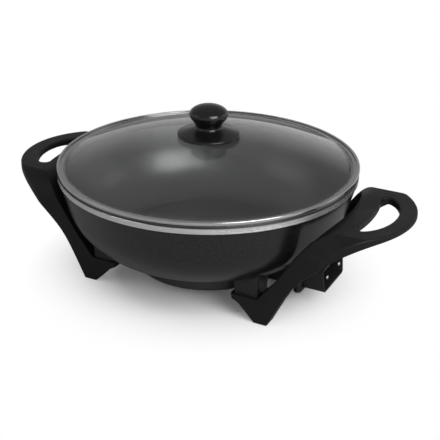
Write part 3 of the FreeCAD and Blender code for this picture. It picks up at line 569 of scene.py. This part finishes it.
screws("leg_screws", LEG_SEATS, "wok", 0.0024, 0.0045, 0.0030, 0.018)
screws("guard_screws", GUARD_SEATS, "wok", 0.0019, 0.0040, 0.0026, 0.015)
screws("cover_screw", [COVER_SEAT], "wok", 0.0024, 0.0045, 0.0024, 0.014)
screws("knob_screw", [KNOB_SEAT], "lid", 0.0024, 0.0050, 0.0030, 0.027)

# %% [markdown]
# ## Ceramic bushes and silicone gaskets
# The bushes that keep the pins apart are unglazed ceramic: chalky, with dark
# specks. The gaskets are grey silicone, which lets a little light in.

# %% Finish: ceramic
ceramic, tree, shader = new_finish("bush ceramic", Roughness=0.75)
skin = use_group(tree, moulded_skin, **{"Grains per metre": 2600.0})
colour = colour_mix(tree, skin["Mottle"], (0.72, 0.68, 0.60), (0.82, 0.80, 0.74))
tree.links.new(colour, shader.inputs["Base Color"])
raised(tree, shader, skin["Height"], 0.00005)
wear(["terminal_bushes"], ceramic)

# %% Finish: silicone
silicone, tree, shader = new_finish(
    "gasket silicone", Subsurface_Weight=0.15, Subsurface_Scale=0.001
)
skin = use_group(tree, moulded_skin, **{"Grains per metre": 3000.0})
marks = use_group(tree, handling, **{"Patches per metre": 120.0})
colour = colour_mix(tree, skin["Mottle"], grey(0.20), grey(0.27))
tree.links.new(colour, shader.inputs["Base Color"])
tree.links.new(between(tree, marks["Smear"], 0.0, 1.0, 0.5, 0.62), shader.inputs["Roughness"])
raised(tree, shader, skin["Height"], 0.00002)
wear(["upper_gasket", "lower_gasket"], silicone)

# %% [markdown]
# ## Lid: glass, ring and knob
# The glass is clear and tempered. Light bends in it, so it is a solid with a
# real thickness and a transmissive shader. Lamps would not shine through such a
# shader in this renderer, so shadow rays meet a nearly clear one instead. Its
# roughness varies a little with finger marks.

# %% Finish: glass
lid_glass, tree, shader = new_finish("lid glass", Transmission_Weight=1.0, IOR=1.5)
marks = use_group(tree, handling, **{"Patches per metre": 14.0})
tint = colour_mix(tree, marks["Smear"], (0.950, 0.960, 0.957), (0.930, 0.941, 0.938))
tree.links.new(tint, shader.inputs["Base Color"])
tree.links.new(between(tree, marks["Smear"], 0.0, 1.0, 0.0, 0.025), shader.inputs["Roughness"])
clear = node(tree, "BsdfTransparent", {"Color": (0.895, 0.903, 0.900, 1.0)})
shadow = node(tree, "LightPath").outputs["Is Shadow Ray"]
both = node(tree, "MixShader", {0: shadow, 1: shader.outputs[0], 2: clear.outputs[0]})
tree.links.new(both.outputs[0], tree.nodes["Material Output"].inputs["Surface"])
wear(["lid_glass"], lid_glass)

# %% [markdown]
# The ring is stainless sheet, rolled round the glass and polished on a wheel
# that runs along it, so its fine scratches follow the rim.

# %% Finish: polished ring
ring_steel, tree, shader = new_finish("ring steel", Metallic=1.0)
rings = use_group(tree, turned_lines, **{"Rings per metre": 3200.0})
marks = use_group(tree, handling, **{"Patches per metre": 35.0})
colour = colour_mix(tree, marks["Smear"], grey(0.68), grey(0.60, (1.0, 0.99, 0.97)))
tree.links.new(colour, shader.inputs["Base Color"])
tree.links.new(scaled(tree, rings["Streak"], 0.14, 0.12), shader.inputs["Roughness"])
raised(tree, shader, rings["Height"], 0.00001)
wear(["lid_ring"], ring_steel)

# %% [markdown]
# The ring's solid has its bends in a few straight steps. The finished one takes
# the same line round smooth bends: over the glass, down the outside, in under
# the glass to the hem, and round the hem's roll.

# %% Modelled ring
SHEET, CORNER = 0.0006, 0.0009
RING_OUT, RING_HIGH, RING_LOW, FLANGE_IN = 0.17998, 0.1487, 0.1443, 0.1764
HEM_OUT, HEM_IN, HEM_LOW, HEM_BACK = 0.1723, 0.1703, 0.1408, 0.1433


def bend(centre_r, centre_z, radius, first, last, steps=6):
    """Points round a bend of the sheet: (radius, height)."""
    points = []
    for step in range(steps + 1):
        angle = math.radians(first + (last - first) * step / steps)
        points.append((centre_r + radius * math.cos(angle), centre_z + radius * math.sin(angle)))
    return points


def sheet_face(out):
    """One face of the sheet, moved outwards from its middle."""
    half = SHEET / 2
    side, high, low = RING_OUT - half, RING_HIGH - half, RING_LOW + half
    hem, back = HEM_OUT - half, HEM_IN + half
    roll = (hem - back) / 2
    line = [(FLANGE_IN, high + out)]
    line += bend(side - CORNER, high - CORNER, CORNER + out, 90, 0)
    line += bend(side - CORNER, low + CORNER, CORNER + out, 0, -90)
    line += bend(hem + CORNER, low - CORNER, CORNER - out, 90, 180)
    line += bend(back + roll, HEM_LOW + half + roll, roll + out, 0, -180)
    return line + [(back - out, HEM_BACK)]


section = sheet_face(SHEET / 2) + sheet_face(-SHEET / 2)[::-1]
ring_form = spun(section, 240, closed=True)
new_piece("lid_ring", ring_form, ring_steel, "lid")

# %% [markdown]
# The knob and its heat shield are the same phenolic as the handles, but their
# mould is polished, so they are half glossy and their skin is very fine.

# %% Finish: knob
knob_phenolic, tree, shader = new_finish("knob phenolic", Specular_IOR_Level=0.6)
skin = use_group(tree, moulded_skin, **{"Grains per metre": 2400.0})
marks = use_group(tree, handling, **{"Patches per metre": 60.0})
colour = colour_mix(tree, skin["Mottle"], grey(0.003), grey(0.005))
colour = colour_mix(tree, maths(tree, "MULTIPLY", marks["Dust"], 0.25), colour, grey(0.12))
tree.links.new(colour, shader.inputs["Base Color"])
tree.links.new(between(tree, marks["Smear"], 0.0, 1.0, 0.16, 0.22), shader.inputs["Roughness"])
raised(tree, shader, skin["Height"], 0.000012)
wear(["lid_knob", "knob_skirt"], knob_phenolic)

# %% [markdown]
# The finished knob has a rounder crown than its solid, a slimmer underside, and
# no edge between the two. Its line starts in the bore for the threaded insert
# and ends on the axis, at the top. Each curve in it leaves its first point
# towards one handle and reaches its last point from another.

# %% Modelled knob
KNOB_LOW, KNOB_WAIST_Z, KNOB_WIDE_Z, KNOB_HIGH = 0.188, 0.1903, 0.2045, 0.2162
KNOB_FOOT_R, KNOB_WAIST_R, KNOB_WIDE_R = 0.0164, 0.0154, 0.0231
BORE_R, BORE_HIGH = 0.00505, 0.20205


def curve(start, leaving, arriving, end, steps=14):
    """Points on a smooth line from start to end, (radius, height), without its first one."""
    points = [Vector((*point, 0.0)) for point in (start, leaving, arriving, end)]
    return [(point.x, point.y) for point in interpolate_bezier(*points, steps)[1:]]


foot, waist = (KNOB_FOOT_R, KNOB_LOW), (KNOB_WAIST_R, KNOB_WAIST_Z)
wide, top = (KNOB_WIDE_R, KNOB_WIDE_Z), (0.0, KNOB_HIGH)
line = [(0.0, BORE_HIGH), (BORE_R, BORE_HIGH), (BORE_R, KNOB_LOW), foot]
line += curve(foot, (0.0158, 0.1886), (KNOB_WAIST_R, 0.1895), waist, steps=6)
line += curve(waist, (KNOB_WAIST_R, 0.1945), (KNOB_WIDE_R, 0.2002), wide)
line += curve(wide, (KNOB_WIDE_R, 0.2110), (0.0128, KNOB_HIGH), top)
new_piece("lid_knob", spun(line, 120), knob_phenolic, "lid")

# %% [markdown]
# ## The studio
# A white background has to look white to the eye, but as a light source it
# would wash out the black parts. So the floor and the surroundings tell apart
# the rays that see them straight, or only through the glass, from those that
# see them mirrored, and from those that only bring their light.

# %% Kinds of rays
BEFORE_ANY_BOUNCE = 0.5


def straight_view(tree):
    """1 for a ray that meets the eye straight or only through glass, 0 after a bounce."""
    path = node(tree, "LightPath").outputs
    bounces = maths(tree, "ADD", path["Diffuse Depth"], path["Glossy Depth"])
    none = maths(tree, "LESS_THAN", bounces, BEFORE_ANY_BOUNCE)
    through = maths(tree, "MULTIPLY", path["Is Transmission Ray"], none)
    return maths(tree, "MAXIMUM", path["Is Camera Ray"], through)


def mirrored_view(tree):
    """1 for a ray that some surface mirrored on its way, 0 for the others."""
    depth = node(tree, "LightPath").outputs["Glossy Depth"]
    return maths(tree, "GREATER_THAN", depth, BEFORE_ANY_BOUNCE)


# %% [markdown]
# The object stands on a white floor in soft light. The floor is an ordinary
# matt white near the object, so that it takes its shadow, and turns into plain
# white further out, so that no horizon shows.

# %% Floor
FLOOR_R = 6.0
SHADOW_R, WHITE_R = 0.11, 0.23
FLOOR_BOUNCE, FLOOR_MIRRORED = 0.38, 0.58
floor_mesh = bpy.data.meshes.new("floor")
shape = bmesh.new()
bmesh.ops.create_circle(shape, cap_ends=True, radius=FLOOR_R, segments=96)
shape.to_mesh(floor_mesh)
shape.free()
floor = bpy.data.objects.new("floor", floor_mesh)
bpy.context.collection.objects.link(floor)

floor_white, tree, shader = new_finish("floor white", Roughness=0.9, Specular_IOR_Level=0.1)
seen = straight_view(tree)
bounced = colour_mix(tree, mirrored_view(tree), grey(FLOOR_BOUNCE), grey(FLOOR_MIRRORED))
tree.links.new(colour_mix(tree, seen, bounced, grey(1.0)), shader.inputs["Base Color"])
white = node(tree, "Emission", {"Color": (1, 1, 1, 1), "Strength": 1.0})
place = node(tree, "TexCoord").outputs["Object"]
distance = node(tree, "VectorMath", {0: place}, operation="LENGTH").outputs["Value"]
far = maths(tree, "MULTIPLY", between(tree, distance, SHADOW_R, WHITE_R), seen)
ground = node(tree, "MixShader", {0: far, 1: shader.outputs[0], 2: white.outputs[0]})
tree.links.new(ground.outputs[0], tree.nodes["Material Output"].inputs["Surface"])
floor_mesh.materials.append(floor_white)
print("floor radius:", FLOOR_R, "m, its shadow fades between", SHADOW_R, "and", WHITE_R)

# %% [markdown]
# The surroundings are white to the eye and through glass. In reflections they
# are a studio: a pale backdrop that stands low round the object and a darker
# room above it, in which the lamps show as soft highlights.

# %% World
ROOM_LIGHT, ROOM_ABOVE, ROOM_FROM = 0.85, 0.24, 0.40
BACKDROP_LEFT, BACKDROP_RIGHT = 0.50, 0.90

world = bpy.data.worlds.new("studio")
bpy.context.scene.world = world
world.use_nodes = True
tree = world.node_tree
direction = node(tree, "TexCoord").outputs["Generated"]
parts = node(tree, "SeparateXYZ", {0: direction}).outputs
backdrop = between(tree, parts[0], -0.6, 0.0, BACKDROP_LEFT, BACKDROP_RIGHT)
room = value_mix(tree, between(tree, parts[2], 0.0, ROOM_FROM), backdrop, ROOM_ABOVE)
strength = value_mix(tree, mirrored_view(tree), ROOM_LIGHT, room)
background = tree.nodes["Background"]
background.inputs["Color"].default_value = (1, 1, 1, 1)
tree.links.new(
    value_mix(tree, straight_view(tree), strength, 1.0), background.inputs["Strength"]
)
print("world:", world.name)

# %% [markdown]
# Three soft boxes add to the even light of the room. The key box stands at the
# right front, where the inside of the bowl, the knob and the band throw it back
# as their soft glare. Two weak ones lift the left side and the right rear.

# %% Lamps
def soft_box(name, place, target, width, height, power):
    """A rectangular lamp at a place, turned towards a target."""
    light = bpy.data.lights.new(name, "AREA")
    light.shape = "RECTANGLE"
    light.size, light.size_y, light.energy = width, height, power
    lamp = bpy.data.objects.new(name, light)
    bpy.context.collection.objects.link(lamp)
    aim = (Vector(target) - Vector(place)).to_track_quat("-Z", "Y").to_matrix().to_4x4()
    lamp.matrix_world = Matrix.Translation(place) @ aim
    print("lamp", name, power, "W")


soft_box("key box", (1.15, -0.62, 1.02), (0, 0, 0.1), 1.0, 1.0, 16)
soft_box("left fill", (-1.2, -0.9, 0.9), (0, 0, 0.1), 1.1, 0.8, 1)
soft_box("right rear box", (1.3, 1.1, 0.8), (0, 0, 0.12), 0.6, 0.6, 0.7)

# %% [markdown]
# ## Camera
# The camera looks down on the wok from its right front, over the inlet side,
# with a long lens. Its axes are built from two angles and a small roll.

# %% Camera
TURN, TILT, ROLL = math.radians(26.96), math.radians(25.23), math.radians(-0.51)
DISTANCE, LENS, ASIDE, LOOK_HEIGHT = 1.2, 79.66, 0.0143, 0.0674

back = Vector((math.sin(TURN) * math.cos(TILT), -math.cos(TURN) * math.cos(TILT), math.sin(TILT)))
level_right = Vector((math.cos(TURN), math.sin(TURN), 0.0))
level_up = back.cross(level_right)
right = math.cos(ROLL) * level_right - math.sin(ROLL) * level_up
up = math.sin(ROLL) * level_right + math.cos(ROLL) * level_up
stand = ASIDE * level_right + Vector((0, 0, LOOK_HEIGHT)) + DISTANCE * back
camera_data = bpy.data.cameras.new("camera")
camera_data.lens, camera_data.sensor_width, camera_data.sensor_fit = LENS, 36.0, "HORIZONTAL"
camera = bpy.data.objects.new("camera", camera_data)
bpy.context.collection.objects.link(camera)
camera.matrix_world = Matrix.Translation(stand) @ Matrix((right, up, back)).transposed().to_4x4()
bpy.context.scene.camera = camera
bpy.context.scene.view_settings.view_transform = "Standard"
print("camera at", tuple(round(x, 3) for x in stand))
